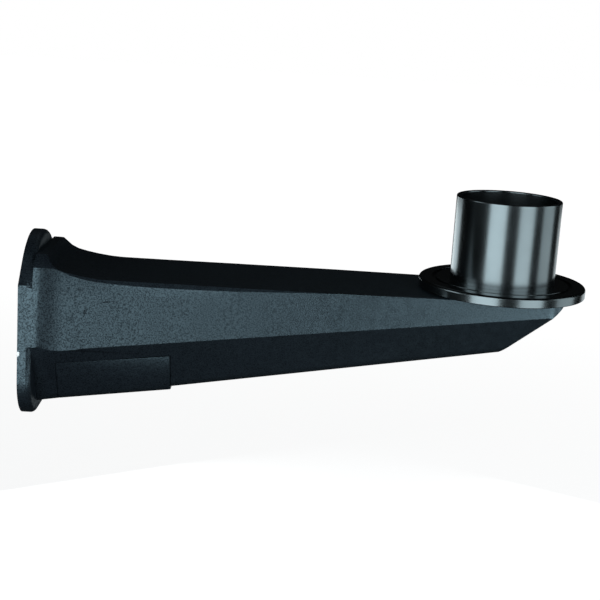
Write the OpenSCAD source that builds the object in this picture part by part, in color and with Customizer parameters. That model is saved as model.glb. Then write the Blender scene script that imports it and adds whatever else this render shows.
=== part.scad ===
// Lamp bracket arm: a hollow cast arm with a wall flange, a turned spigot and an access cover.
// The origin is the middle of the flange's back face, +X runs out along the arm and +Z is up.

/* [Wall flange] */
// Width of the flange's lip on each side of the arm
flange_lip = 2; // [1:0.5:16]
// Height of the flange
flange_h = 130.5; // [110:0.5:156]
// Thickness of the flange
flange_t = 9.5; // [8:0.5:20]
// Rounding of the flange's front edge
flange_edge_r = 3.5; // [2:0.5:6]
// Radius of the arched top of the flange
flange_arch_r = 51.5; // [40:0.5:60]
// Slope of the flange's shoulders, from level
shoulder_angle = 47; // [40:1:60]
// Radius of the flange's lower corners
flange_foot_r = 31; // [12:1:34]
// Bolt spacing across the flange
bolt_spacing_y = 56; // [40:1:60]
// Bolt spacing up the flange
bolt_spacing_z = 60; // [46:1:66]
// Diameter of the wall bolt holes, for M8
bolt_hole_d = 9; // [6:0.5:11]
// Diameter of the solid ear round each wall bolt
bolt_ear_d = 21; // [16:0.5:24]

/* [Arm] */
// Distance from the wall to the spigot's axis
reach = 343; // [280:1:420]
// Width of the arm where it meets the wall
root_w = 98; // [80:1:102]
// Width of the arm at the spigot's axis
tip_w = 80; // [70:1:96]
// Height of the arm's level top face above the flange's middle
arm_top = 40; // [32:1:48]
// Height of the underside at the wall, from the flange's middle
floor_root = -59; // [-61:0.5:-50]
// Height of the underside at the spigot's axis
floor_tip = -1; // [-10:0.5:8]
// Height of the upright side face's lower edge above the underside at the wall
side_low_rise = 44; // [34:1:46]
// Lean of the lower bevels from upright
bevel_lean = 28.5; // [18:0.5:36]
// Radius between each lower bevel and the underside
floor_corner_r = 11; // [6:1:16]
// Radius of the arch that shapes the arm's shoulders
shoulder_r = 57.5; // [52:0.5:70]
// Height of that arch's crown
shoulder_crown = 59.5; // [56:0.5:64]
// Radius of the flare that rises from the top face to the flange
flare_r = 97; // [70:1:160]
// Distance from the wall at which the flare starts
flare_x = 61.5; // [48:0.5:70]
// Rise of the flare's level part above the top face
flare_rise = 9.7; // [6:0.1:12]
// Growth of the shoulders' arch where it meets the flange
shoulder_flare_rise = 2.1; // [0.5:0.1:4]
// Radius of the flare by which the arch grows
shoulder_flare_r = 190; // [120:5:260]
// Distance from the wall at which the arch starts to grow
shoulder_flare_x = 70; // [50:1:90]
// Radius of the root flares that run from the arm's sides out to the flange's edge
root_flare_r = 16; // [8:0.5:24]
// Distance from the wall at which the root flares start
root_flare_x = 25; // [22:0.5:30]
// How far the nose reaches past the spigot's axis
nose_reach = 41.5; // [41:0.5:50]
// Radius of the nose's corners in plan
nose_corner_r = 13; // [8:0.5:30]
// Slope of the underside of the nose, from level
nose_angle = 42.5; // [34:0.1:48]
// Distance from the spigot's axis back to where the nose's slope starts
nose_heel = 2.3; // [0:0.1:8]
// Wall thickness of the casting
arm_wall = 4.5; // [3:0.5:6]

/* [Spigot] */
// Outside diameter of the spigot tube
spigot_d = 76; // [60:1:80]
// Wall thickness of the spigot tube
spigot_wall = 3; // [2:0.25:4]
// Height of the tube above its collar
spigot_h = 61; // [45:1:80]
// Diameter of the collar
collar_d = 121; // [110:1:136]
// Thickness of the collar
collar_t = 7; // [5:0.5:9]
// Rounding of the collar's upper rim
collar_edge_r = 2; // [1:0.5:3]
// Rounding of the tube's rim
rim_edge_r = 1; // [0.5:0.25:1.5]
// Radius to the middle of the groove in the collar
groove_r = 49.5; // [46:0.5:52]
// Width of that groove
groove_w = 2.6; // [1.5:0.1:4]
// Depth of that groove
groove_depth = 1.6; // [1:0.1:2.5]
// Diameter of the cable way through the spigot's floor
cable_d = 30; // [16:1:32]
// Relief round the cable way in the arm's boss
cable_relief = 1; // [0.5:0.5:2]
// Diameter of the register that centres the spigot on the arm
register_d = 38; // [36:1:40]
// Depth of that register
register_h = 2.5; // [1.5:0.5:4]
// Clearance all round the register
register_gap = 0.15; // [0.05:0.05:0.3]
// Height of the machined seat under the spigot
seat_h = 1; // [0.5:0.5:2]
// Diameter of the machined seat
seat_d = 78; // [70:1:78]
// Thickness of the boss under the seat, with the top wall
boss_t = 11; // [9:0.5:13]
// Pitch circle of the spigot screws
spigot_pcd = 54; // [52:1:56]
// Number of spigot screws
spigot_screws_n = 4; // [3:1:6]
// Thread diameter of the spigot screws
spigot_screw_d = 6; // [5:1:6]

/* [Access cover] */
// Length of the cover along the arm
cover_l = 81; // [70:1:100]
// Thickness of the cover where it is flush
cover_t = 2.5; // [2:0.25:3]
// Rise of the cover's end above the underside, which wedges it outward
cover_proud = 2.4; // [0.5:0.1:3]
// Height of the side face's lower edge above the cover's upper edge
cover_drop = 10.5; // [8:0.5:14]
// Clearance between the cover's edges and the recess
cover_gap = 0.3; // [0.1:0.05:0.5]
// Length of the access opening
access_l = 52; // [40:1:56]
// Width of the access opening
access_w = 36; // [24:1:38]
// Spacing of the cover screws across the arm
cover_screw_span = 26; // [20:1:30]
// Thread diameter of the cover screws
cover_screw_d = 4; // [3:0.5:5]

/* [Hidden] */
$fn = 96;
slack = 1;
far = 440;
flange_top = flange_h / 2;
root_half = root_w / 2;
flange_half = root_half + flange_lip;
tip_half = tip_w / 2;
side_taper = (root_half - tip_half) / reach;
side_turn = atan(side_taper);
floor_rise = (floor_tip - floor_root) / reach;
floor_angle = atan(floor_rise);
recess_start = root_flare_x;
cover_start = recess_start + cover_gap;
cover_end = recess_start + cover_l;
cover_rise = floor_rise - cover_proud / cover_l;
cover_angle = atan(cover_rise);
nose_tip = reach + nose_reach;
heel_x = reach - nose_heel;
floor_half = root_half - side_low_rise * tan(bevel_lean);
collar_under = arm_top + seat_h;
collar_top = collar_under + collar_t;
tube_bore_r = spigot_d / 2 - spigot_wall;
arch_z = shoulder_crown - shoulder_r;
cover_edge_rise = side_low_rise - cover_drop;
access_x = cover_start + (cover_l - access_l) / 2;
cover_screw_rows = [(cover_start + access_x) / 2, (access_x + access_l + cover_end) / 2];
cap_head_r = spigot_screw_d * 0.83;
cap_head_h = spigot_screw_d;
cap_key_r = spigot_screw_d * 0.48;
sunk_head_r = cover_screw_d * 0.93;
sunk_head_h = sunk_head_r - cover_screw_d / 2;
sunk_key_r = cover_screw_d * 0.36;
thread_gap = 0.15;
cover_boss_r = cover_screw_d + 1.5;
cover_boss_h = 9;
cover_screw_l = 9;
spigot_screw_l = boss_t + seat_h + 3;

// Height of the underside and half width of the arm at a distance from the wall
function floor_z(x) = floor_root + floor_rise * x;
function half_at(x) = root_half - side_taper * x;

// Turns a profile drawn as width by height so that it runs out along the arm from the wall
module along_arm(length) {
    rotate([90, 0, 90]) linear_extrude(length) children();
}

// Turns a profile drawn as reach by height so that it spans the arm from side to side
module across_arm(width) {
    translate([0, width / 2, 0]) rotate([90, 0, 0]) linear_extrude(width) children();
}

// Flange outline as width by height: upright sides, sloped shoulders, arched top, round lower corners
module flange_outline(inset) {
    arch_r = flange_arch_r - inset;
    arch_centre = flange_top - flange_arch_r;
    half = flange_half - inset;
    foot_r = flange_foot_r - inset;
    foot_z = -flange_top + flange_foot_r;
    shoulder_y = arch_r * sin(shoulder_angle);
    shoulder_z = arch_centre + arch_r * cos(shoulder_angle);
    kink_z = shoulder_z - (half - shoulder_y) * tan(shoulder_angle);
    foot_y = flange_half - flange_foot_r;
    intersection() {
        translate([0, arch_centre]) circle(arch_r);
        translate([-far, shoulder_z]) square([2 * far, far]);
    }
    polygon([
        [-half, foot_z], [half, foot_z], [half, kink_z],
        [shoulder_y, shoulder_z], [-shoulder_y, shoulder_z], [-half, kink_z]
    ]);
    for (side = [-1, 1]) translate([side * foot_y, foot_z]) circle(foot_r);
    translate([-foot_y, foot_z - foot_r]) square([2 * foot_y, foot_r]);
}

// Flange plate with its rounded front edge, as one convex solid
module flange_plate() {
    steps = 5;
    hull() {
        along_arm(flange_t - flange_edge_r) flange_outline(0, $fn = 64);
        for (i = [1:steps]) {
            turn = 90 * i / steps;
            translate([flange_t - flange_edge_r * (1 - sin(turn)) - 0.01, 0, 0])
                along_arm(0.01) flange_outline(flange_edge_r * (1 - cos(turn)), $fn = 64);
        }
    }
}

// Plan of the arm: tapered sides that run tangent into the nose's round corners
module plan_outline(inset) {
    corner_r = nose_corner_r - inset;
    corner_x = nose_tip - nose_corner_r;
    corner_y = half_at(corner_x) - nose_corner_r / cos(side_turn);
    side_x = corner_x + corner_r * sin(side_turn);
    side_y = corner_y + corner_r * cos(side_turn);
    wall_y = half_at(-slack) - inset / cos(side_turn);
    polygon([
        [-slack, -wall_y], [side_x, -side_y], [corner_x + corner_r, -corner_y],
        [corner_x + corner_r, corner_y], [side_x, side_y], [-slack, wall_y]
    ]);
    for (side = [-1, 1]) translate([corner_x, side * corner_y]) circle(corner_r);
}

// Root flares in plan, between the arm's sides and the flange's edge
module root_flares() {
    centre_y = half_at(root_flare_x) + root_flare_r - slack / 20;
    for (side = [-1, 1]) difference() {
        translate([0, side > 0 ? root_half - 2 * slack : -flange_half])
            square([root_flare_x + slack / 2, flange_half - root_half + 2 * slack]);
        translate([root_flare_x, side * centre_y]) circle(root_flare_r);
    }
}

// Upper section: an arch that cuts the shoulders, as width by height
module upper_section(inset) {
    translate([0, arch_z]) circle(shoulder_r - inset);
    translate([-shoulder_r + inset, arch_z - far]) square([2 * (shoulder_r - inset), far]);
}

// The flare by which the shoulders' arch grows towards the flange, turned about the arch's own axis
module shoulder_flare() {
    translate([0, 0, arch_z]) rotate([0, 90, 0]) rotate_extrude() difference() {
        square([shoulder_r + shoulder_flare_rise, shoulder_flare_x + slack]);
        translate([shoulder_r + shoulder_flare_r - slack / 20, shoulder_flare_x])
            circle(shoulder_flare_r, $fn = 240);
    }
}

// Lower section: flat floor, round corners and leaning bevels, drawn up from the floor line
module lower_section(inset) {
    corner_r = max(floor_corner_r - inset, slack);
    corner_in = inset * tan((90 - bevel_lean) / 2);
    base_half = floor_half - corner_in;
    round_y = base_half - corner_r * tan((90 - bevel_lean) / 2);
    bevel_y = round_y + corner_r * cos(bevel_lean);
    bevel_z = inset + corner_r - corner_r * sin(bevel_lean);
    top_y = bevel_y + (far / 2) * tan(bevel_lean);
    translate([0, inset]) {
        for (side = [-1, 1]) translate([side * round_y, corner_r]) circle(corner_r);
    }
    polygon([
        [-round_y, inset], [round_y, inset], [bevel_y, bevel_z], [top_y, bevel_z + far / 2],
        [-top_y, bevel_z + far / 2], [-bevel_y, bevel_z]
    ]);
}

// Side view limits: flared top face, and the underside of the nose
module side_outline(inset) {
    top = arm_top - inset;
    nose_foot_x = heel_x - inset * tan(nose_angle / 2);
    nose_foot_z = floor_z(heel_x) + inset;
    polygon([
        [-slack, nose_foot_z - flange_h], [nose_foot_x - flange_h / tan(nose_angle), nose_foot_z - flange_h],
        [nose_foot_x + (top - nose_foot_z) / tan(nose_angle), top], [-slack, top]
    ]);
}

// The flare that lifts the arm's top face up to the flange
module flare_outline() {
    difference() {
        translate([0, arm_top - slack]) square([flare_x, flare_rise + slack]);
        translate([flare_x, arm_top + flare_r]) circle(flare_r, $fn = 240);
    }
}

// Arm without flange, seat or hollow; a larger inset gives the core that hollows it
module arm_form(inset) {
    intersection() {
        intersection() {
            across_arm(far) {
                side_outline(inset);
                if (inset == 0) flare_outline();
            }
            translate([0, 0, floor_root]) rotate([0, -floor_angle, 0])
                translate([-far / 4, 0, 0]) along_arm(far * 1.5) lower_section(inset);
        }
        translate([0, 0, -far / 2]) linear_extrude(far) {
            plan_outline(inset);
            if (inset == 0) root_flares();
        }
        union() {
            translate([-slack, 0, 0]) along_arm(far) upper_section(inset);
            if (inset == 0) shoulder_flare();
        }
    }
}

// Places things on the underside, square to it
module on_floor(x, y) {
    translate([x, y, floor_z(x)]) rotate([0, -floor_angle, 0]) children();
}

// Places things on the cover's outer face, square to it
module on_cover(x, y) {
    translate([x, y, floor_z(recess_start) + cover_rise * (x - recess_start)])
        rotate([0, -cover_angle, 0]) children();
}

// Zone under the cover's upper edge, as reach by height
module cover_zone(gap) {
    edge = floor_root + cover_edge_rise + gap;
    edge_rise = floor_rise - side_taper / tan(bevel_lean);
    across_arm(far) polygon([
        [recess_start, floor_root - far / 4], [cover_end + gap, floor_root - far / 4],
        [cover_end + gap, edge + edge_rise * cover_end], [recess_start, edge + edge_rise * recess_start]
    ]);
}

// Everything further in than the cover's inner face
module cover_core(inset) {
    translate([0, 0, floor_root]) rotate([0, -floor_angle, 0])
        translate([-far / 4, 0, 0]) along_arm(far * 1.5) lower_section(inset);
}

// Solid that the cover is cut from: the lower section again, run out at the cover's own slope
module cover_blank() {
    translate([recess_start, 0, floor_z(recess_start)]) rotate([0, -cover_angle, 0])
        translate([-slack, 0, 0]) along_arm(cover_l * 1.4) lower_section(0);
}

// Hollow of the arm, with solid ears left round the wall bolts and a boss under the spigot
module arm_hollow() {
    difference() {
        arm_form(arm_wall);
        for (y = [-1, 1], z = [-1, 1])
            translate([-2 * slack, y * bolt_spacing_y / 2, z * bolt_spacing_z / 2])
                rotate([0, 90, 0]) cylinder(h = flange_t + 2 * slack, d = bolt_ear_d);
        translate([reach, 0, collar_under - boss_t]) cylinder(h = boss_t, d = seat_d);
        for (x = cover_screw_rows, y = [-1, 1])
            on_cover(x, y * cover_screw_span / 2) cylinder(h = cover_boss_h + cover_t, r = cover_boss_r);
    }
}

// Arm, flange and seat, cast in one piece
module arm_casting() {
    color("#20262b") difference() {
        union() {
            intersection() {
                arm_form(0);
                translate([0, -far, -far]) cube([far, 2 * far, 2 * far]);
            }
            flange_plate();
            translate([reach, 0, arm_top - slack]) cylinder(h = seat_h + slack, d = seat_d);
        }
        arm_hollow();
        for (y = [-1, 1], z = [-1, 1])
            translate([-slack, y * bolt_spacing_y / 2, z * bolt_spacing_z / 2])
                rotate([0, 90, 0]) cylinder(h = flange_t + 2 * slack, d = bolt_hole_d);
        translate([reach, 0, collar_under - boss_t - slack])
            cylinder(h = boss_t + 2 * slack, d = cable_d + 2 * cable_relief);
        translate([reach, 0, collar_under - register_h - register_gap])
            cylinder(h = register_h + slack, d = register_d + 2 * register_gap);
        for (i = [0:spigot_screws_n - 1])
            translate([reach, 0, 0]) rotate(45 + i * 360 / spigot_screws_n)
                translate([spigot_pcd / 2, 0, collar_under - boss_t - slack])
                    cylinder(h = boss_t + 2 * slack, d = spigot_screw_d);
        difference() {
            cover_zone(cover_gap);
            cover_core(cover_t);
        }
        on_floor(access_x, 0) translate([0, -access_w / 2, -slack])
            cube([access_l, access_w, arm_wall + 3 * slack]);
        for (x = cover_screw_rows, y = [-1, 1])
            on_cover(x, y * cover_screw_span / 2) cylinder(h = cover_boss_h + cover_t - slack, d = cover_screw_d);
    }
}

// Half section of the spigot: floor, register, collar with its groove, and the tube
module spigot_section() {
    rim_r = collar_d / 2;
    difference() {
        union() {
            translate([cable_d / 2, 0]) square([rim_r - cable_d / 2 - collar_edge_r, collar_t]);
            translate([rim_r - collar_edge_r - slack, 0])
                square([collar_edge_r + slack, collar_t - collar_edge_r]);
            translate([rim_r - collar_edge_r, collar_t - collar_edge_r]) circle(collar_edge_r);
            translate([cable_d / 2, -register_h]) square([(register_d - cable_d) / 2, register_h + slack]);
            translate([tube_bore_r, collar_t - slack]) square([spigot_wall, spigot_h - rim_edge_r + slack]);
            translate([tube_bore_r + rim_edge_r, collar_t - slack])
                square([spigot_wall - 2 * rim_edge_r, spigot_h + slack]);
            for (r = [tube_bore_r + rim_edge_r, spigot_d / 2 - rim_edge_r])
                translate([r, collar_t + spigot_h - rim_edge_r]) circle(rim_edge_r);
        }
        translate([groove_r - groove_w / 2, collar_t - groove_depth]) square([groove_w, groove_depth + slack]);
    }
}

// Spigot turned in one piece, drilled for its screws
module spigot() {
    color("#0d0f11") translate([reach, 0, collar_under]) difference() {
        rotate_extrude() spigot_section();
        for (i = [0:spigot_screws_n - 1]) rotate(45 + i * 360 / spigot_screws_n)
            translate([spigot_pcd / 2, 0, -slack]) cylinder(h = collar_t + 2 * slack, d = spigot_screw_d + 0.6);
    }
}

// Hexagon-socket cap screw, seated with the underside of its head at zero
module cap_screw() {
    difference() {
        union() {
            cylinder(h = cap_head_h, r = cap_head_r);
            translate([0, 0, -spigot_screw_l - collar_t + 2]) cylinder(h = spigot_screw_l + collar_t - 1,
                d = spigot_screw_d - 2 * thread_gap);
        }
        translate([0, 0, cap_head_h * 0.45]) cylinder(h = cap_head_h, r = cap_key_r, $fn = 6);
    }
}

// The screws that hold the spigot, with their heads inside the tube
module spigot_screws() {
    color("silver") for (i = [0:spigot_screws_n - 1])
        translate([reach, 0, collar_top]) rotate(45 + i * 360 / spigot_screws_n)
            translate([spigot_pcd / 2, 0, 0]) cap_screw();
}

// Cover over the access opening, wrapped round the floor and both bevels
module access_cover() {
    color("#20262b") difference() {
        intersection() {
            cover_blank();
            cover_zone(0);
            translate([cover_start, -far / 2, -far / 2]) cube([cover_end - cover_start, far, far]);
        }
        cover_core(cover_t);
        for (x = cover_screw_rows, y = [-1, 1]) on_cover(x, y * cover_screw_span / 2) {
            translate([0, 0, -4 * cover_t]) cylinder(h = 8 * cover_t, d = cover_screw_d + 0.5);
            translate([0, 0, -slack]) cylinder(h = sunk_head_h + slack + thread_gap,
                r1 = sunk_head_r + slack + thread_gap, r2 = cover_screw_d / 2);
        }
    }
}

// Countersunk screw pointing up into the arm, with its head flush at zero
module sunk_screw() {
    shank_r = cover_screw_d / 2 - thread_gap;
    difference() {
        union() {
            cylinder(h = sunk_head_r - shank_r, r1 = sunk_head_r, r2 = shank_r);
            cylinder(h = cover_screw_l, r = shank_r);
        }
        translate([0, 0, -slack]) cylinder(h = slack + sunk_head_h * 0.75, r = sunk_key_r, $fn = 6);
    }
}

// The screws that hold the cover
module cover_screws() {
    color("silver") for (x = cover_screw_rows, y = [-1, 1])
        on_cover(x, y * cover_screw_span / 2) sunk_screw();
}

arm_casting();
spigot();
spigot_screws();
access_cover();
cover_screws();
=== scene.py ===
"""Looks of a lantern bracket arm over its CAD frame: finishes, soft edges, root form, studio and camera."""

import logging
import math
from dataclasses import dataclass, field
from enum import Enum

import bmesh
import bpy
from mathutils import Matrix, Vector


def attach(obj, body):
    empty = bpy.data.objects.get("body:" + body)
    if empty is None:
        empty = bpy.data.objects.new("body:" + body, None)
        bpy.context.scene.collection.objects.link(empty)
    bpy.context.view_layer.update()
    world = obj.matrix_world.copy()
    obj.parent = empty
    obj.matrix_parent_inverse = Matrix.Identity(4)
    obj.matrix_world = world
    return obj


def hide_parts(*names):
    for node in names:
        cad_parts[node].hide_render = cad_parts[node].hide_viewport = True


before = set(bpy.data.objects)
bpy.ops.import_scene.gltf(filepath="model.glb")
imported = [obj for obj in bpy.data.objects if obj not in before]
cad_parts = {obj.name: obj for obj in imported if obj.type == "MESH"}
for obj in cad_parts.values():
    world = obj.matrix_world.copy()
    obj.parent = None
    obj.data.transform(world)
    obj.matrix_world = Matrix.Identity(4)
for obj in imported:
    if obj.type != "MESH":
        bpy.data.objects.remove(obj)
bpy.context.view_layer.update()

LOG = logging.getLogger("bracket_arm")
MM = 0.001
Colour = tuple[float, float, float]
Band = tuple[float, float]


class Arithmetic(Enum):
    """Steps of arithmetic in a finish's node tree."""

    ADD = "ADD"
    SUBTRACT = "SUBTRACT"
    MULTIPLY = "MULTIPLY"


class Cut(Enum):
    """How a sleeve changes the casting's piece."""

    TAKE_AWAY = "DIFFERENCE"
    JOIN_ON = "UNION"


class NodeBench:
    """Builds one material's node tree, one small step at a time."""

    def __init__(self, name: str) -> None:
        """Starts an empty material.

        Args:
            name: Name of the material.
        """
        self.material = bpy.data.materials.new(name)
        self.material.use_nodes = True
        self.tree = self.material.node_tree
        self.tree.nodes.clear()
        self.output = self.tree.nodes.new("ShaderNodeOutputMaterial")

    def node(self, kind: str, **values: object) -> bpy.types.Node:
        """Adds a node and sets its properties and unlinked sockets.

        Args:
            kind: Blender's type name of the node.
            **values: Property names, or socket names with spaces written as underscores.

        Returns:
            The new node.
        """
        made = self.tree.nodes.new(kind)
        for key, value in values.items():
            socket = key.replace("_", " ")
            if hasattr(made, key):
                setattr(made, key, value)
            else:
                made.inputs[socket].default_value = value
        return made

    def link(self, source: bpy.types.NodeSocket, target: bpy.types.NodeSocket) -> None:
        """Joins two sockets."""
        self.tree.links.new(source, target)

    def place(self) -> bpy.types.NodeSocket:
        """Gives the surface's place in metres, in the frame the CAD uses."""
        return self.node("ShaderNodeTexCoord").outputs["Object"]

    def arithmetic(self, step: Arithmetic, first: float | bpy.types.NodeSocket,
                   second: float | bpy.types.NodeSocket) -> bpy.types.NodeSocket:
        """Works out one step of arithmetic.

        Args:
            step: The step.
            first: First value, fixed or from a socket.
            second: Second value, fixed or from a socket.

        Returns:
            The result's socket.
        """
        made = self.node("ShaderNodeMath", operation=step.value)
        for socket, value in zip(made.inputs, (first, second)):
            if isinstance(value, float):
                socket.default_value = value
            else:
                self.link(value, socket)
        return made.outputs["Value"]

    def noise(self, grain: float, detail: float = 2.0, roughness: float = 0.5) -> bpy.types.NodeSocket:
        """Adds a noise field.

        Args:
            grain: Size of one grain in metres.
            detail: Octaves of finer noise.
            roughness: Share that each finer octave keeps.

        Returns:
            The noise's factor socket.
        """
        made = self.node("ShaderNodeTexNoise", Scale=1.0 / grain, Detail=detail, Roughness=roughness)
        self.link(self.place(), made.inputs["Vector"])
        return made.outputs["Fac"]

    def ramp(self, source: bpy.types.NodeSocket, low: float, high: float,
             to_low: float = 0.0, to_high: float = 1.0) -> bpy.types.NodeSocket:
        """Maps a value's range to another range, clamped at both ends.

        Args:
            source: The value.
            low: Value that becomes to_low.
            high: Value that becomes to_high.
            to_low: Start of the new range.
            to_high: End of the new range.

        Returns:
            The mapped value's socket.
        """
        made = self.node("ShaderNodeMapRange")
        bounds = {"From Min": low, "From Max": high, "To Min": to_low, "To Max": to_high}
        for socket, value in bounds.items():
            made.inputs[socket].default_value = value
        self.link(source, made.inputs["Value"])
        return made.outputs["Result"]

    def blend(self, factor: bpy.types.NodeSocket, first: Colour | bpy.types.NodeSocket,
              second: Colour | bpy.types.NodeSocket) -> bpy.types.NodeSocket:
        """Mixes two colours.

        Args:
            factor: Share of the second colour.
            first: Colour at factor 0.
            second: Colour at factor 1.

        Returns:
            The mixed colour's socket.
        """
        made = self.node("ShaderNodeMix", data_type="RGBA")
        self.link(factor, made.inputs["Factor"])
        for socket, value in ((made.inputs[6], first), (made.inputs[7], second)):
            if isinstance(value, tuple):
                socket.default_value = (*value, 1.0)
            else:
                self.link(value, socket)
        return made.outputs[2]

    def bump(self, height: bpy.types.NodeSocket, depth: float, strength: float = 1.0,
             before: bpy.types.NodeSocket | None = None) -> bpy.types.NodeSocket:
        """Turns a height into a bumped normal.

        Args:
            height: Height from 0 to 1.
            depth: Real height of 1, in metres.
            strength: Share of the bump that is used.
            before: Normal from an earlier bump.

        Returns:
            The normal's socket.
        """
        made = self.node("ShaderNodeBump", Strength=strength, Distance=depth)
        self.link(height, made.inputs["Height"])
        if before is not None:
            self.link(before, made.inputs["Normal"])
        return made.outputs["Normal"]

    def finish(self, shader: bpy.types.NodeSocket) -> bpy.types.Material:
        """Joins the shader to the output and gives the material."""
        self.link(shader, self.output.inputs["Surface"])
        return self.material


@dataclass(frozen=True)
class PaintChip:
    """A place where the coat has been knocked off to the pale primer."""

    centre: tuple[float, float, float] = (0.7 * MM, -51.0 * MM, -14.8 * MM)
    half_size: tuple[float, float, float] = (1.1 * MM, 2.0 * MM, 2.0 * MM)
    primer: Colour = (0.80, 0.82, 0.83)
    ragged_grain: float = 0.9 * MM
    ragged_band: Band = (0.3, 0.7)
    ragged_by: float = 0.35
    bare_within: float = 0.9

    def mask(self, bench: NodeBench) -> bpy.types.NodeSocket:
        """Gives 1 inside the chip and 0 outside, with a ragged edge.

        Args:
            bench: The node tree to build in.

        Returns:
            The mask's socket.
        """
        shift = bench.node("ShaderNodeMapping")
        shift.inputs["Scale"].default_value = tuple(1.0 / half for half in self.half_size)
        shift.inputs["Location"].default_value = tuple(
            -centre / half for centre, half in zip(self.centre, self.half_size))
        bench.link(bench.place(), shift.inputs["Vector"])
        length = bench.node("ShaderNodeVectorMath", operation="LENGTH")
        bench.link(shift.outputs["Vector"], length.inputs[0])
        grain = bench.noise(self.ragged_grain)
        drift = bench.ramp(grain, *self.ragged_band, -self.ragged_by, self.ragged_by)
        ragged = bench.arithmetic(Arithmetic.ADD, length.outputs["Value"], drift)
        return bench.ramp(ragged, 1.0, self.bare_within)


@dataclass(frozen=True)
class PowderCoat:
    """Satin black powder coat with a fine texture, over a casting, whose sheen carries painted shade at the
    root and a painted highlight towards the tip.
    """

    name: str = "arm_coat"
    colour: Colour = (0.0056, 0.0077, 0.0108)
    speck_colour: Colour = (0.0020, 0.0026, 0.0036)
    sheen: Colour = (0.60, 0.86, 1.0)
    sheen_low: float = 0.30
    sheen_high: float = 1.05
    # Painted shade and painted highlight along the arm: the sheen's share at the root and at the tip, and
    # where the tip's share is reached.
    root_painted_shade: float = 0.64
    tip_painted_highlight: float = 1.5
    root_from: float = 13.0 * MM
    root_until: float = 21.0 * MM
    painted_highlight_full_from: float = 300.0 * MM
    grain: float = 0.95 * MM
    peel: float = 4.5 * MM
    grain_depth: float = 0.12 * MM
    peel_depth: float = 0.02 * MM
    gloss_low: float = 0.34
    gloss_high: float = 0.42
    peel_band: Band = (0.3, 0.7)
    peel_strength: float = 0.5
    grain_strength: float = 0.6
    speck_band: Band = (0.44, 0.34)
    pit_band: Band = (0.60, 0.36)
    coarse_until: float = 60.0 * MM
    fine_from: float = 330.0 * MM
    fine_share: float = 0.3
    cloud: float = 60.0 * MM
    cloud_band: Band = (0.35, 0.65)
    cloud_share: float = 0.35
    cloud_lift: float = 1.5
    chip: PaintChip | None = None

    def material(self) -> bpy.types.Material:
        """Builds the coat's material."""
        bench = NodeBench(self.name)
        fine = bench.noise(self.grain, detail=1.5, roughness=0.6)
        peel = bench.noise(self.peel)
        cloud = bench.noise(self.cloud, detail=3.0, roughness=0.6)
        colour = bench.blend(bench.ramp(fine, *self.speck_band), self.colour, self.speck_colour)
        tone = bench.ramp(cloud, *self.cloud_band, 0.0, self.cloud_share)
        colour = bench.blend(tone, colour, tuple(self.cloud_lift * value for value in self.colour))
        rough = bench.ramp(peel, *self.peel_band, self.gloss_low, self.gloss_high)
        if self.chip is not None:
            colour = bench.blend(self.chip.mask(bench), colour, self.chip.primer)
        normal = bench.bump(peel, self.peel_depth, self.peel_strength)
        normal = bench.bump(fine, self.grain_depth, self.grain_strength, before=normal)
        shader = bench.node("ShaderNodeBsdfPrincipled")
        bench.link(self._sheen_pits_and_painted_light(bench, fine), shader.inputs["Specular IOR Level"])
        shader.inputs["Specular Tint"].default_value = (*self.sheen, 1.0)
        bench.link(colour, shader.inputs["Base Color"])
        bench.link(rough, shader.inputs["Roughness"])
        bench.link(normal, shader.inputs["Normal"])
        return bench.finish(shader.outputs["BSDF"])

    def _sheen_pits_and_painted_light(self, bench: NodeBench, fine: bpy.types.NodeSocket) -> bpy.types.NodeSocket:
        """Works out the sheen: full on the flange, low at the root as painted shade, rising to the tip as a
        painted highlight, less in the pits.

        Args:
            bench: The node tree to build in.
            fine: The coat's fine noise.

        Returns:
            The socket of the specular level.
        """
        split = bench.node("ShaderNodeSeparateXYZ")
        bench.link(bench.place(), split.inputs[0])
        out = split.outputs["X"]
        coarse = bench.ramp(out, self.coarse_until, self.fine_from, 1.0, self.fine_share)
        pits = bench.ramp(fine, *self.pit_band, 0.0, self.sheen_high - self.sheen_low)
        loss = bench.arithmetic(Arithmetic.MULTIPLY, coarse, pits)
        level = bench.arithmetic(Arithmetic.SUBTRACT, self.sheen_high, loss)
        # Painted shade and painted highlight: the sheen is cut to 0.64 at the root and raised to 1.5
        # towards the tip, standing in for how the light falls along the arm.
        flange = bench.ramp(out, self.root_from, self.root_until, 1.0 - self.root_painted_shade, 0.0)
        arm = bench.ramp(out, self.root_until, self.painted_highlight_full_from, self.root_painted_shade, self.tip_painted_highlight)
        share = bench.arithmetic(Arithmetic.ADD, flange, arm)
        return bench.arithmetic(Arithmetic.MULTIPLY, level, share)


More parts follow.
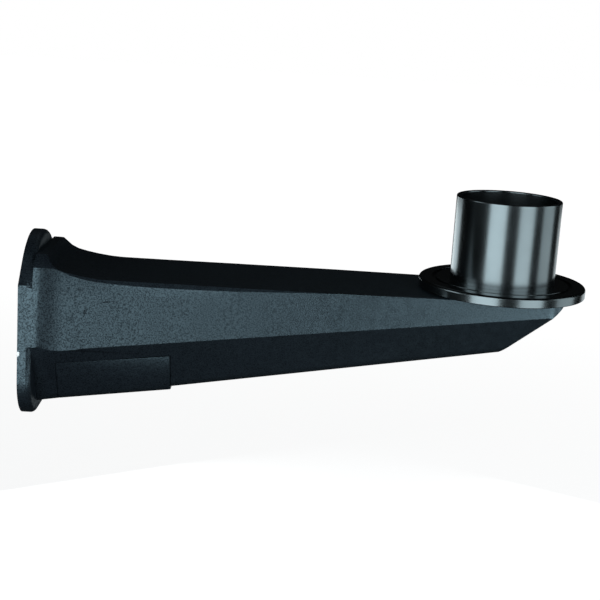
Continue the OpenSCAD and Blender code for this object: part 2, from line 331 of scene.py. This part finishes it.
@dataclass(frozen=True)
class TurnedBlack:
    """Smooth semi-gloss black finish on turned metal, with faint lathe rings."""

    name: str = "spigot_paint"
    colour: Colour = (0.125, 0.150, 0.160)
    axis_xy: tuple[float, float] = (343.0 * MM, 0.0)
    ring_pitch: float = 0.9 * MM
    ring_depth: float = 0.004 * MM
    ring_strength: float = 0.35
    roughness: float = 0.21
    rough_drop: float = 0.01
    rough_rise: float = 0.02
    haze: float = 30.0 * MM
    haze_band: Band = (0.35, 0.65)
    tint_band: Band = (0.3, 0.7)
    tint: float = 0.93
    dust: float = 1.4 * MM
    dust_depth: float = 0.006 * MM
    dust_strength: float = 0.3

    def material(self) -> bpy.types.Material:
        """Builds the spigot's material."""
        bench = NodeBench(self.name)
        split = bench.node("ShaderNodeSeparateXYZ")
        bench.link(bench.place(), split.inputs[0])
        flat = bench.node("ShaderNodeCombineXYZ")
        for target, axis, centre in zip(flat.inputs, ("X", "Y"), self.axis_xy):
            bench.link(bench.arithmetic(Arithmetic.SUBTRACT, split.outputs[axis], centre), target)
        radius = bench.node("ShaderNodeVectorMath", operation="LENGTH")
        bench.link(flat.outputs[0], radius.inputs[0])
        path = bench.arithmetic(Arithmetic.ADD, radius.outputs["Value"], split.outputs["Z"])
        rings = bench.node("ShaderNodeTexNoise", noise_dimensions="1D", Detail=2.0,
                           Scale=1.0 / self.ring_pitch)
        bench.link(path, rings.inputs["W"])
        haze = bench.noise(self.haze)
        spread = (self.roughness - self.rough_drop, self.roughness + self.rough_rise)
        rough = bench.ramp(haze, *self.haze_band, *spread)
        tinted = tuple(self.tint * value for value in self.colour)
        colour = bench.blend(bench.ramp(haze, *self.tint_band), self.colour, tinted)
        normal = bench.bump(rings.outputs["Fac"], self.ring_depth, self.ring_strength)
        normal = bench.bump(bench.noise(self.dust), self.dust_depth, self.dust_strength, before=normal)
        shader = bench.node("ShaderNodeBsdfPrincipled")
        shader.inputs["Metallic"].default_value = 1.0
        bench.link(colour, shader.inputs["Base Color"])
        bench.link(rough, shader.inputs["Roughness"])
        bench.link(normal, shader.inputs["Normal"])
        return bench.finish(shader.outputs["BSDF"])


@dataclass(frozen=True)
class ScrewSteel:
    """Plain or blackened screw steel with fine drawing marks."""

    name: str
    colour: Colour
    roughness: float
    mark: float = 0.5 * MM
    mark_band: Band = (0.3, 0.7)
    mark_spread: float = 0.06
    mark_depth: float = 0.01 * MM
    mark_strength: float = 0.4
    film: float = 2.5 * MM
    film_band: Band = (0.35, 0.7)
    film_share: float = 0.7

    def material(self) -> bpy.types.Material:
        """Builds the screws' material."""
        bench = NodeBench(self.name)
        marks = bench.noise(self.mark, detail=3.0)
        film = bench.ramp(bench.noise(self.film), *self.film_band)
        colour = bench.blend(film, self.colour, tuple(self.film_share * value for value in self.colour))
        spread = (self.roughness - self.mark_spread, self.roughness + self.mark_spread)
        rough = bench.ramp(marks, *self.mark_band, *spread)
        shader = bench.node("ShaderNodeBsdfPrincipled")
        shader.inputs["Metallic"].default_value = 1.0
        bench.link(colour, shader.inputs["Base Color"])
        bench.link(rough, shader.inputs["Roughness"])
        bench.link(bench.bump(marks, self.mark_depth, self.mark_strength), shader.inputs["Normal"])
        return bench.finish(shader.outputs["BSDF"])


def along(table: tuple[tuple[float, float], ...], x: float) -> float:
    """Reads a line of joined points at a distance from the wall.

    Args:
        table: Points as distance and value, in rising order.
        x: Distance from the wall in millimetres.

    Returns:
        The value, level beyond both ends.
    """
    if x <= table[0][0]:
        return table[0][1]
    for (x0, v0), (x1, v1) in zip(table, table[1:]):
        if x <= x1:
            return v0 + (v1 - v0) * (x - x0) / (x1 - x0)
    return table[-1][1]


@dataclass(frozen=True)
class RootForm:
    """The casting's form by the flange, in millimetres: stepped flare, leaning strips and arched top."""

    starts_at: float = 9.7
    ends_at: float = 150.0
    flange_half: float = 50.98
    root_half: float = 49.0
    taper: float = 9.0 / 343.0
    round_from: float = 12.6
    crest_at: float = 16.2
    flare_ends_at: float = 33.0
    crest_slant: float = 0.034
    strip_from_z: float = 31.0
    axis_z: float = 2.0
    proud: float = 0.04
    skin: float = 2.2
    overcut: float = 0.05
    clearance: float = 14.0
    floor_root: float = -59.0
    floor_rise: float = 58.0 / 343.0
    floor_half: float = 25.11
    bevel_lean: float = 28.5
    arc_steps: int = 14
    side_steps: int = 6
    top_below_crown: float = 0.2
    skin_reach: float = 0.2
    close_step: float = 0.6
    close_until: float = 36.0
    wide_step: float = 3.0
    join_within: float = 0.02
    sliver_area: float = 1.5
    mend_rounds: int = 6
    lean: tuple[tuple[float, float], ...] = ((60.0, 22.0), (150.0, 0.0))
    edge: tuple[tuple[float, float], ...] = (
        (22.0, 46.3), (28.0, 44.6), (35.0, 41.9), (42.0, 40.2), (50.0, 38.9), (62.0, 37.9), (90.0, 37.0),
        (120.0, 37.2), (150.0, 37.7))
    top: tuple[tuple[float, float], ...] = (
        (17.0, 54.3), (18.5, 52.2), (22.0, 47.6), (27.0, 44.9), (34.0, 43.3), (42.0, 41.8), (52.0, 40.5),
        (61.0, 40.03))
    low: tuple[tuple[float, float], ...] = ((40.0, -60.0), (44.0, 18.0), (60.0, 26.0), (150.0, 30.0))

    def half_width(self, x: float, z: float) -> float:
        """Gives the side's half width: flat flange, rounded step, hollow flare and tapered side.

        Args:
            x: Distance from the wall in millimetres.
            z: Height in millimetres, because the step leans back towards the foot.

        Returns:
            The half width in millimetres.
        """
        if x >= self.flare_ends_at:
            return self.root_half - self.taper * x + self.proud
        side = self.root_half - self.taper * self.flare_ends_at + self.proud
        shifted = min(x + (self.strip_from_z - z) * self.crest_slant, self.flare_ends_at)
        half_lean = math.atan((self.flange_half - side) / (self.flare_ends_at - self.round_from))
        if shifted <= self.round_from:
            return self.flange_half
        if shifted <= self.crest_at:
            radius = (self.crest_at - self.round_from) / math.sin(2 * half_lean)
            return self.flange_half - radius + math.sqrt(radius ** 2 - (shifted - self.round_from) ** 2)
        radius = (self.flare_ends_at - self.crest_at) / math.sin(2 * half_lean)
        return side + radius - math.sqrt(radius ** 2 - (self.flare_ends_at - shifted) ** 2)

    def outline(self, x: float, inset: float) -> list[tuple[float, float]]:
        """Draws the section's outline from one parting line over the top to the other.

        Args:
            x: Distance from the wall in millimetres.
            inset: How far inside the surface the outline lies, or outside where it is negative.

        Returns:
            Points as half width and height in millimetres.
        """
        half = self.half_width(x, self.strip_from_z)
        floor = self.floor_root + self.floor_rise * x
        parting = floor + (half - self.floor_half) / math.tan(math.radians(self.bevel_lean))
        base = max(parting, along(self.low, x))
        edge_z = along(self.edge, x)
        edge_y = half - (edge_z - self.strip_from_z) * math.tan(math.radians(along(self.lean, x)))
        radius = math.hypot(edge_y, edge_z - self.axis_z) - inset
        top = min(along(self.top, x) - inset, self.axis_z + radius - self.top_below_crown)
        begin = math.atan2(edge_z - self.axis_z, edge_y)
        end = math.asin((top - self.axis_z) / radius)
        side = [(self.half_width(x, z) - inset, z)
                for z in (base + (self.strip_from_z - base) * step / self.side_steps
                          for step in range(self.side_steps + 1))]
        turns = [begin + (end - begin) * step / self.arc_steps for step in range(self.arc_steps + 1)]
        side += [(radius * math.cos(turn), self.axis_z + radius * math.sin(turn)) for turn in turns]
        side.append((side[-1][0] / 2, top))
        return [(-y, z) for y, z in side] + [(0.0, top)] + [(y, z) for y, z in reversed(side)]

    def sleeve(self, name: str, outside: float, inside: float, extra: float) -> bpy.types.Object:
        """Lofts a closed sleeve between two outlines along the root.

        Args:
            name: Name of the sleeve's mesh.
            outside: Inset of its outer surface in millimetres.
            inside: Inset of its inner surface in millimetres.
            extra: How much further it reaches at both ends, in millimetres.

        Returns:
            The sleeve's object, which isn't part of the finished model.
        """
        stations = [self.starts_at - extra]
        while stations[-1] < self.ends_at + extra:
            step = self.close_step if stations[-1] < self.close_until else self.wide_step
            stations.append(min(self.ends_at + extra, stations[-1] + step))
        rings = [self.outline(x, outside) + self.outline(x, inside)[::-1] for x in stations]
        count = len(rings[0])
        verts = [(x * MM, y * MM, z * MM) for x, ring in zip(stations, rings) for y, z in ring]
        faces = [(station * count + index, station * count + (index + 1) % count,
                  (station + 1) * count + (index + 1) % count, (station + 1) * count + index)
                 for station in range(len(stations) - 1) for index in range(count)]
        arc = count // 2
        for start, flip in ((0, False), ((len(stations) - 1) * count, True)):
            for index in range(arc - 1):
                here, there = start + index, start + count - 1 - index
                quad = (here, there, there - 1, here + 1)
                faces.append(quad[::-1] if flip else quad)
        mesh = bpy.data.meshes.new(name)
        mesh.from_pydata(verts, [], faces)
        shape = bmesh.new()
        shape.from_mesh(mesh)
        bmesh.ops.recalc_face_normals(shape, faces=shape.faces)
        shape.to_mesh(mesh)
        shape.free()
        return bpy.data.objects.new(name, mesh)

    def carve(self, piece: bpy.types.Object) -> None:
        """Cuts the root back and gives it its true surface, in the piece's own mesh.

        Args:
            piece: The casting's piece, with modifiers that are applied first.
        """
        for way, sleeve in (
            (Cut.TAKE_AWAY, self.sleeve("root_cut", -self.clearance, self.overcut, 0.0)),
            (Cut.JOIN_ON, self.sleeve("root_skin", 0.0, self.skin, self.skin_reach)),
        ):
            bpy.context.scene.collection.objects.link(sleeve)
            cut = piece.modifiers.new("root_form", "BOOLEAN")
            cut.operation = way.value
            cut.object = sleeve
            cut.solver = "EXACT"
            bpy.context.view_layer.update()
            cut_piece = piece.evaluated_get(bpy.context.evaluated_depsgraph_get())
            shaped = bpy.data.meshes.new_from_object(cut_piece)
            piece.modifiers.clear()
            piece.data = shaped
            bpy.data.objects.remove(sleeve)
        self.clean(piece.data)

    def clean(self, mesh: bpy.types.Mesh) -> None:
        """Joins corners that the cuts left almost on one another, and drops what has no area.

        Args:
            mesh: The casting's mesh after the cuts.
        """
        shape = bmesh.new()
        shape.from_mesh(mesh)
        bmesh.ops.remove_doubles(shape, verts=shape.verts, dist=self.join_within * MM)
        bmesh.ops.dissolve_degenerate(shape, edges=shape.edges, dist=self.join_within * MM)
        bmesh.ops.triangulate(shape, faces=shape.faces)
        bmesh.ops.dissolve_degenerate(shape, edges=shape.edges, dist=self.join_within * MM)
        kept = self._largest_island(shape)
        bmesh.ops.delete(shape, geom=[face for face in shape.faces if face not in kept], context="FACES")
        for _ in range(self.mend_rounds):
            odd = [edge for edge in shape.edges if len(edge.link_faces) != 2]
            if not odd:
                break
            self._mend(shape, odd)
        odd = [edge for edge in shape.edges if len(edge.link_faces) != 2]
        if odd:
            LOG.warning("%d edges of the casting's mesh don't join exactly two faces", len(odd))
        bmesh.ops.recalc_face_normals(shape, faces=shape.faces)
        shape.to_mesh(mesh)
        shape.free()
        LOG.info("the casting's mesh has %d faces", len(mesh.polygons))

    def _largest_island(self, shape: bmesh.types.BMesh) -> set[bmesh.types.BMFace]:
        """Finds the faces of the largest part that hangs together.

        Args:
            shape: The mesh to look through.

        Returns:
            The faces of that part.
        """
        todo, largest = set(shape.faces), []
        while todo:
            island, front = [], [todo.pop()]
            while front:
                face = front.pop()
                island.append(face)
                near = {other for edge in face.edges for other in edge.link_faces if other in todo}
                todo -= near
                front += near
            largest = max(largest, island, key=len)
        return set(largest)

    def _mend(self, shape: bmesh.types.BMesh, odd: list[bmesh.types.BMEdge]) -> None:
        """Takes tiny faces away at edges that don't join exactly two, and fills the holes they leave.

        Args:
            shape: The mesh to mend.
            odd: The edges that don't join exactly two faces.
        """
        slivers = {face for edge in odd for face in edge.link_faces
                   if face.calc_area() < self.sliver_area * MM ** 2}
        bmesh.ops.delete(shape, geom=list(slivers), context="FACES")
        loose = [edge for edge in shape.edges if not edge.link_faces]
        bmesh.ops.delete(shape, geom=loose, context="EDGES")
        rims = [edge for edge in shape.edges if edge.is_boundary]
        patch = bmesh.ops.holes_fill(shape, edges=rims, sides=0)["faces"]
        bmesh.ops.triangulate(shape, faces=patch)


@dataclass
class FinishedPiece:
    """A piece that stands for a CAD node: its shape with soft edges, and a new root where one is given."""

    node: str
    slot: str
    finish: PowderCoat | TurnedBlack | ScrewSteel
    edge_radius: float
    edge_steps: int = 2
    sharp_angle: float = 28.0
    crease_angle: float = 8.0
    weld_within: float = 0.002 * MM
    root: RootForm | None = None

    def build(self) -> bpy.types.Object:
        """Copies the node's mesh, rounds the copy's edges, and gives it its root and its finish.

        Returns:
            The piece, which stands for the CAD node.
        """
        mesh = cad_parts[self.node].data.copy()
        mesh.name = f"{self.node}_finished"
        mesh.materials.clear()
        mesh.materials.append(self.finish.material())
        for polygon in mesh.polygons:
            polygon.use_smooth = True
        piece = bpy.data.objects.new(mesh.name, mesh)
        bpy.context.scene.collection.objects.link(piece)
        weld = piece.modifiers.new("join_corners", "WELD")
        weld.merge_threshold = self.weld_within
        rounding = piece.modifiers.new("soft_edges", "BEVEL")
        rounding.width = self.edge_radius
        rounding.segments = self.edge_steps
        rounding.limit_method = "ANGLE"
        rounding.angle_limit = math.radians(self.sharp_angle)
        rounding.harden_normals = True
        if self.root is not None:
            self.root.carve(piece)
            for polygon in piece.data.polygons:
                polygon.use_smooth = True
            piece.data.set_sharp_from_angle(angle=math.radians(self.crease_angle))
        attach(piece, "root")
        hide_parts(self.node)
        LOG.info("finished %s", self.node)
        return piece


@dataclass(frozen=True)
class TurnedSpigot:
    """The spigot turned again from its profile, so that its curves stay round in the highlights."""

    axis_x: float = 343.0
    seat_z: float = 41.0
    bore_r: float = 35.0
    tube_r: float = 38.0
    tube_h: float = 61.0
    rim_r: float = 1.0
    cable_r: float = 15.0
    register_r: float = 19.0
    register_h: float = 2.5
    collar_r: float = 60.5
    collar_t: float = 7.0
    collar_edge_r: float = 2.0
    groove_mid: float = 49.5
    groove_w: float = 2.6
    groove_depth: float = 1.6
    break_r: float = 0.3
    register_root_r: float = 0.1
    collar_foot_r: float = 0.5
    groove_root_r: float = 0.2
    tube_root_r: float = 0.15
    bore_root_r: float = 0.5
    turns: int = 192

    def profile(self) -> list[tuple[float, float, float]]:
        """Gives the half section's corners as radius, height and rounding, in millimetres."""
        top = self.seat_z + self.collar_t
        rim = top + self.tube_h
        inner, outer = self.groove_mid - self.groove_w / 2, self.groove_mid + self.groove_w / 2
        return [
            (self.cable_r, self.seat_z - self.register_h, self.break_r),
            (self.register_r, self.seat_z - self.register_h, self.break_r),
            (self.register_r, self.seat_z, self.register_root_r),
            (self.collar_r, self.seat_z, self.collar_foot_r),
            (self.collar_r, top, self.collar_edge_r),
            (outer, top, self.break_r),
            (outer, top - self.groove_depth, self.groove_root_r),
            (inner, top - self.groove_depth, self.groove_root_r),
            (inner, top, self.break_r),
            (self.tube_r, top, self.tube_root_r),
            (self.tube_r, rim, self.rim_r),
            (self.bore_r, rim, self.rim_r),
            (self.bore_r, top, self.bore_root_r),
            (self.cable_r, top, self.break_r),
        ]

    def rounded(self, steps: int = 5) -> list[tuple[float, float]]:
        """Rounds every corner of the profile.

        Args:
            steps: Straight pieces that stand for each corner's arc.

        Returns:
            Points of the closed half section, as radius and height in millimetres.
        """
        corners = [(Vector((r, z)), rounding) for r, z, rounding in self.profile()]
        points: list[tuple[float, float]] = []
        for index, (corner, rounding) in enumerate(corners):
            before = (corners[index - 1][0] - corner).normalized()
            after = (corners[(index + 1) % len(corners)][0] - corner).normalized()
            half = before.angle(after) / 2
            centre = corner + (before + after).normalized() * (rounding / math.sin(half))
            start = corner + before * (rounding / math.tan(half)) - centre
            end = corner + after * (rounding / math.tan(half)) - centre
            sweep = start.angle_signed(end)
            for step in range(steps + 1):
                turn = -sweep * step / steps
                spoke = Vector((start.x * math.cos(turn) - start.y * math.sin(turn),
                                start.x * math.sin(turn) + start.y * math.cos(turn)))
                points.append(tuple(centre + spoke))
        return points

    def build(self, finish: TurnedBlack) -> bpy.types.Object:
        """Turns the profile round the spigot's axis.

        Args:
            finish: The finish of the turned surfaces.

        Returns:
            The spigot's object, which stands for the CAD node.
        """
        section = self.rounded()
        count = len(section)
        verts = [
            ((self.axis_x + r * math.cos(angle)) * MM, r * math.sin(angle) * MM, z * MM)
            for angle in (2 * math.pi * turn / self.turns for turn in range(self.turns))
            for r, z in section
        ]
        faces = []
        for turn in range(self.turns):
            here, there = turn * count, (turn + 1) % self.turns * count
            for index in range(count):
                after = (index + 1) % count
                faces.append((here + index, there + index, there + after, here + after))
        mesh = bpy.data.meshes.new("spigot_turned")
        mesh.from_pydata(verts, [], faces)
        for polygon in mesh.polygons:
            polygon.use_smooth = True
        mesh.materials.append(finish.material())
        piece = bpy.data.objects.new("spigot_turned", mesh)
        bpy.context.scene.collection.objects.link(piece)
        even = piece.modifiers.new("even_normals", "WEIGHTED_NORMAL")
        even.keep_sharp = False
        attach(piece, "root")
        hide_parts("spigot")
        LOG.info("turned the spigot")
        return piece


@dataclass(frozen=True)
class Softbox:
    """A soft light that faces the arm, straight ahead or tipped down where it hangs high."""

    name: str
    bearing: float
    distance: float
    width: float
    height: float
    middle: float
    radiance: float
    colour: Colour = (0.90, 0.98, 1.0)
    level_below: float = 0.9

    def build(self, target: Vector) -> bpy.types.Object:
        """Makes the light.

        Args:
            target: The point that the light stands round, at its bearing from -Y towards +X.

        Returns:
            The light's object.
        """
        data = bpy.data.lights.new(self.name, "AREA")
        data.shape = "RECTANGLE"
        data.size, data.size_y = self.width, self.height
        data.energy = math.pi * self.width * self.height * self.radiance
        data.color = self.colour
        lamp = bpy.data.objects.new(self.name, data)
        angle = math.radians(self.bearing)
        place = target + Vector((math.sin(angle), -math.cos(angle), 0.0)) * self.distance
        place.z = self.middle
        aim_z = self.middle if self.middle < self.level_below else target.z
        aim = Vector((target.x, target.y, aim_z)) - place
        lamp.location = place
        lamp.rotation_mode = "QUATERNION"
        lamp.rotation_quaternion = aim.to_track_quat("-Z", "Y")
        lamp.visible_camera = False
        bpy.context.scene.collection.objects.link(lamp)
        return lamp


@dataclass
class Studio:
    """White floor, white surround and soft lights."""

    floor_height: float = -0.60
    floor_size: float = 30.0
    room_level: float = 0.006
    room_colour: Colour = (0.92, 0.97, 1.0)
    floor_shade: float = 0.04
    floor_lit: float = 0.5
    glow_reach: Band = (0.9, 3.2)
    glow_level: Band = (0.84, 1.02)
    middle: tuple[float, float, float] = (343.0 * MM, 0.0, 0.0)
    lights: list[Softbox] = field(default_factory=lambda: [
        Softbox("box_left", -30.0, 1.30, 0.86, 1.55, 0.18, 3.7),
        Softbox("box_right", 32.5, 1.30, 0.76, 1.55, 0.18, 2.9),
        Softbox("box_end", 88.0, 1.30, 0.78, 1.55, 0.18, 1.5),
        Softbox("box_far_left", -78.0, 1.40, 0.55, 0.60, 0.46, 2.6),
        Softbox("box_back", 180.0, 1.60, 1.60, 0.90, 1.80, 0.12),
        Softbox("box_rear_left", 212.0, 1.30, 0.86, 0.50, -0.33, 2.4),
        Softbox("box_rear_right", 150.0, 1.30, 0.86, 0.50, -0.33, 0.9),
    ])

    def build(self) -> None:
        """Makes the world, the floor and the lights."""
        self._world()
        self._floor()
        for light in self.lights:
            light.build(Vector(self.middle))
        LOG.info("studio with %d lights", len(self.lights))

    def _world(self) -> None:
        """Makes a surround that the camera sees as white and the object sees as a dim room."""
        world = bpy.data.worlds.new("surround")
        bpy.context.scene.world = world
        world.use_nodes = True
        tree = world.node_tree
        tree.nodes.clear()
        output = tree.nodes.new("ShaderNodeOutputWorld")
        mix = tree.nodes.new("ShaderNodeMixShader")
        rays = tree.nodes.new("ShaderNodeLightPath")
        room = tree.nodes.new("ShaderNodeBackground")
        white = tree.nodes.new("ShaderNodeBackground")
        room.inputs["Color"].default_value = (*self.room_colour, 1.0)
        room.inputs["Strength"].default_value = self.room_level
        white.inputs["Color"].default_value = (1.0, 1.0, 1.0, 1.0)
        tree.links.new(rays.outputs["Is Camera Ray"], mix.inputs[0])
        tree.links.new(room.outputs[0], mix.inputs[1])
        tree.links.new(white.outputs[0], mix.inputs[2])
        tree.links.new(mix.outputs[0], output.inputs["Surface"])

    def _floor(self) -> None:
        """Makes the floor, which keeps the object's shadow and can be seen through from below."""
        half = self.floor_size / 2
        mesh = bpy.data.meshes.new("floor")
        corners = [(-half, -half, 0), (half, -half, 0), (half, half, 0), (-half, half, 0)]
        mesh.from_pydata(corners, [], [(0, 1, 2, 3)])
        floor = bpy.data.objects.new("floor", mesh)
        floor.location.z = self.floor_height
        bpy.context.scene.collection.objects.link(floor)
        bench = NodeBench("floor_white")
        rays = bench.node("ShaderNodeLightPath")
        side = bench.node("ShaderNodeNewGeometry")
        far = bench.node("ShaderNodeVectorMath", operation="LENGTH")
        bench.link(bench.place(), far.inputs[0])
        glow = bench.node("ShaderNodeEmission")
        level = bench.ramp(far.outputs["Value"], *self.glow_reach, *self.glow_level)
        bench.link(level, glow.inputs["Strength"])
        lit = bench.node("ShaderNodeBsdfDiffuse", Color=(*[self.floor_lit] * 3, 1.0))
        seen = bench.node("ShaderNodeAddShader")
        bench.link(glow.outputs[0], seen.inputs[0])
        bench.link(lit.outputs[0], seen.inputs[1])
        unseen = bench.node("ShaderNodeBsdfDiffuse", Color=(*[self.floor_shade] * 3, 1.0))
        by_ray = bench.node("ShaderNodeMixShader")
        bench.link(rays.outputs["Is Camera Ray"], by_ray.inputs[0])
        bench.link(unseen.outputs[0], by_ray.inputs[1])
        bench.link(seen.outputs[0], by_ray.inputs[2])
        clear = bench.node("ShaderNodeBsdfTransparent")
        by_side = bench.node("ShaderNodeMixShader")
        bench.link(side.outputs["Backfacing"], by_side.inputs[0])
        bench.link(by_ray.outputs[0], by_side.inputs[1])
        bench.link(clear.outputs[0], by_side.inputs[2])
        mesh.materials.append(bench.finish(by_side.outputs[0]))


@dataclass(frozen=True)
class PhotoCamera:
    """The camera at the photograph's viewing angle."""

    place: tuple[float, float, float] = (178.4 * MM, -930.5 * MM, 236.7 * MM)
    yaw: float = 1.11
    dip: float = 12.86
    roll: float = 3.59
    focal: float = 78.0
    sensor: float = 36.0
    clip_near: float = 0.02
    clip_far: float = 60.0

    def build(self) -> bpy.types.Object:
        """Makes the camera and hands it to the scene."""
        data = bpy.data.cameras.new("photo_camera")
        data.lens, data.sensor_width, data.sensor_fit = self.focal, self.sensor, "HORIZONTAL"
        data.clip_start, data.clip_end = self.clip_near, self.clip_far
        camera = bpy.data.objects.new("photo_camera", data)
        yaw, dip, roll = (math.radians(value) for value in (self.yaw, self.dip, self.roll))
        ahead = Vector((math.sin(yaw) * math.cos(dip), math.cos(yaw) * math.cos(dip), -math.sin(dip)))
        level = Vector((math.cos(yaw), -math.sin(yaw), 0.0))
        above = level.cross(ahead)
        right = level * math.cos(roll) + above * math.sin(roll)
        up = above * math.cos(roll) - level * math.sin(roll)
        turn = Matrix((right, up, -ahead)).transposed()
        camera.matrix_world = Matrix.Translation(Vector(self.place)) @ turn.to_4x4()
        bpy.context.scene.collection.objects.link(camera)
        bpy.context.scene.camera = camera
        return camera


@dataclass
class BracketArm:
    """The whole bracket: casting, cover, spigot and screws."""

    coat: PowderCoat = PowderCoat()
    chipped_coat: PowderCoat = PowderCoat(name="arm_coat_chipped", chip=PaintChip())
    turned: TurnedBlack = TurnedBlack()
    plated: ScrewSteel = ScrewSteel("spigot_screw_steel", (0.55, 0.56, 0.58), 0.30)
    blackened: ScrewSteel = ScrewSteel("cover_screw_black", (0.045, 0.047, 0.052), 0.38)

    def build(self) -> None:
        """Finishes the casting, the cover and the screws, and turns the spigot."""
        for piece in (
            FinishedPiece("arm_casting", "arm_coat", self.chipped_coat, 1.0 * MM, root=RootForm()),
            FinishedPiece("access_cover", "arm_coat", self.coat, 1.0 * MM, edge_steps=3),
            FinishedPiece("spigot_screws", "spigot_screw_steel", self.plated, 0.25 * MM),
            FinishedPiece("cover_screws", "cover_screw_black", self.blackened, 0.2 * MM),
        ):
            piece.build()
        TurnedSpigot().build(self.turned)


def main() -> None:
    """Builds the looks of the bracket, the studio and the camera."""
    logging.basicConfig(level=logging.INFO, format="%(name)s: %(message)s")
    bpy.context.scene.view_settings.view_transform = "Standard"
    PhotoCamera().build()
    Studio().build()
    BracketArm().build()
    bpy.context.view_layer.update()


if __name__ == "__main__":
    main()
